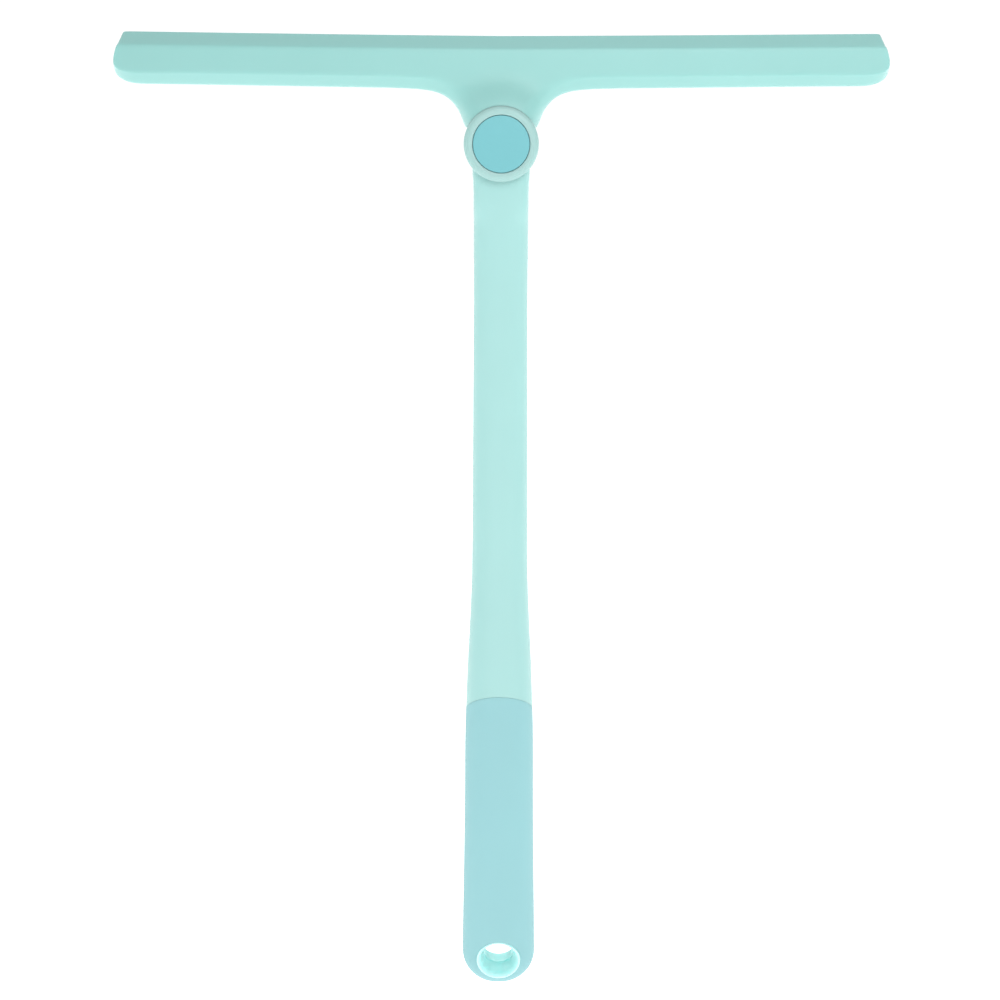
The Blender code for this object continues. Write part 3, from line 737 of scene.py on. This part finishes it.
def blade_head():
    """Soft head over the stiff core: bar with lip and chamfered edge, neck that swells to the ring."""
    half = spline(edge_points(), 4)
    whole = half + [(-x, z, share, -xi, zi) for x, z, share, xi, zi in reversed(half) if x > 1e-6]
    bm = bmesh.new()
    front, back = head_side(whole, -1), head_side(whole, HEAD_BACK_SHARE)
    loops = add_loft(bm, list(reversed(back)) + front[1:], caps=False)
    fill_face(bm, loops[-1], -1)
    fill_face(bm, loops[0], HEAD_BACK_SHARE)
    for v in bm.verts:
        v.co.y += math.copysign(neck_ramp(v.co.x, v.co.z), v.co.y) * min(1.0, abs(v.co.y) / HEAD_FRONT)
    body = finish_mesh("blade_head_skin", bm)
    rise = 40 / math.tan(math.radians(NECK_END_ANGLE))
    below = [(-40, -30), (40, -30), (40, rise), (0, 0), (-40, rise)]
    pocket = [(-CORE_HALF_W, 0), (CORE_HALF_W, 0), (CORE_HALF_W, CORE_TOP_Z), (-CORE_HALF_W, CORE_TOP_Z)]
    tools = [lathe("t_round", disc(NECK_CLEAR_R, -14, 14), 160, False), prism("t_end", below, -15, 15),
             prism("t_pocket", pocket, -CORE_HALF_Y, CORE_HALF_Y)]
    combine(body, [(tool, "DIFFERENCE") for tool in tools])
    dress(body, SILICONE, "head", "blade_silicone", "blade_head")


# ---------------------------------------------------------------- scene

def paint(mat, *names):
    """Give carried-over CAD nodes their material."""
    for name in names:
        data = frame["nodes"][name].data
        data.materials.clear()
        data.materials.append(mat)


def floor():
    """Plain white floor far below, glowing like a light table."""
    bm = bmesh.new()
    bmesh.ops.create_grid(bm, x_segments=2, y_segments=2, size=14.0)
    mesh = bpy.data.meshes.new("floor")
    bm.to_mesh(mesh)
    bm.free()
    plane = bpy.data.objects.new("floor", mesh)
    plane.location = (0, 0, FLOOR_Z)
    bpy.context.scene.collection.objects.link(plane)
    mat = bpy.data.materials.new("floor")
    mat.use_nodes = True
    shader = mat.node_tree.nodes["Principled BSDF"]
    shader.inputs["Base Color"].default_value = (0.02, 0.02, 0.02, 1)
    shader.inputs["Roughness"].default_value = 0.9
    shader.inputs["Specular IOR Level"].default_value = 0.0
    shader.inputs["Emission Color"].default_value = (1, 1, 1, 1)
    shader.inputs["Emission Strength"].default_value = FLOOR_GLOW
    mesh.materials.append(mat)


def world():
    """White studio: a little brighter towards the top for the light it gives, plain white to the eye."""
    scene_world = bpy.data.worlds.new("studio")
    bpy.context.scene.world = scene_world
    scene_world.use_nodes = True
    nodes, links = scene_world.node_tree.nodes, scene_world.node_tree.links
    plain = nodes["Background"]
    plain.inputs["Color"].default_value = (1, 1, 1, 1)
    plain.inputs["Strength"].default_value = 1.05
    glow = nodes.new("ShaderNodeBackground")
    where = nodes.new("ShaderNodeTexCoord")
    split = nodes.new("ShaderNodeSeparateXYZ")
    ramp = nodes.new("ShaderNodeMapRange")
    ramp.inputs["From Min"].default_value = -0.6
    ramp.inputs["From Max"].default_value = 0.9
    ramp.inputs["To Min"].default_value = 0.82
    ramp.inputs["To Max"].default_value = 1.2
    links.new(where.outputs["Generated"], split.inputs["Vector"])
    links.new(split.outputs["Z"], ramp.inputs["Value"])
    links.new(ramp.outputs["Result"], glow.inputs["Strength"])
    path = nodes.new("ShaderNodeLightPath")
    mix = nodes.new("ShaderNodeMixShader")
    links.new(path.outputs["Is Camera Ray"], mix.inputs["Fac"])
    links.new(glow.outputs["Background"], mix.inputs[1])
    links.new(plain.outputs["Background"], mix.inputs[2])
    links.new(mix.outputs["Shader"], nodes["World Output"].inputs["Surface"])


def softbox(name, at, aim, size, power):
    """Soft rectangular light, in metres and watts."""
    data = bpy.data.lights.new(name, "AREA")
    data.shape = "RECTANGLE"
    data.size, data.size_y = size
    data.energy = power
    lamp = bpy.data.objects.new(name, data)
    lamp.location = at
    lamp.rotation_euler = (Vector(aim) - Vector(at)).to_track_quat("-Z", "Y").to_euler()
    lamp.visible_camera = False
    bpy.context.scene.collection.objects.link(lamp)


def camera():
    """About level with the hub, looking ten degrees down at the middle of the squeegee."""
    data = bpy.data.cameras.new("camera")
    data.sensor_width = 36.0
    data.lens = LENS_MM
    data.clip_end = 30.0
    cam = bpy.data.objects.new("camera", data)
    distance, drop = CAMERA_DISTANCE, math.radians(CAMERA_DROP)
    spot = HUB + Vector((0.0, 0.0, -AIM_BELOW_HUB))
    eye = (spot + Vector((0.0, -distance * math.cos(drop), distance * math.sin(drop)))) * MM
    cam.matrix_world = (Matrix.Translation(eye) @ Matrix.Rotation(PI / 2 - drop, 4, "X")
                        @ Matrix.Rotation(math.radians(CAMERA_ROLL), 4, "Z"))
    bpy.context.scene.collection.objects.link(cam)
    bpy.context.scene.camera = cam


shell("handle_front_skin", -1, "handle_front_shell")
shell("handle_rear_skin", 1, "handle_rear_shell")
grip()
eyelet()
screws()
bezel()
button()
rear_cap()
blade_head()
paint(CORE, "head_core")
paint(STEEL, "pivot_bolt", "pivot_nut", "button_spring")
paint(LOCK, "lock_gear", "guide_post")
paint(WASHER, "front_friction_washer", "rear_friction_washer")
floor()
world()
softbox("key", (0.10, -0.45, 0.46), (0.07, 0.0, 0.32), (0.30, 0.24), 0.85)
softbox("low", (0.04, -0.60, -0.20), (0.0, 0.0, -0.02), (0.5, 0.3), 0.6)
softbox("back", (0.0, 0.75, 0.45), (0.0, 0.0, 0.05), (1.0, 0.6), 3.0)
for name, side in (("left", -1), ("right", 1)):
    softbox(name, (side * 0.8, 0.15, 0.1), (0.0, 0.0, 0.12), (0.4, 1.1), 1.3)
camera()
bpy.context.scene.view_settings.view_transform = "Standard"
bpy.context.scene.view_settings.look = "None"
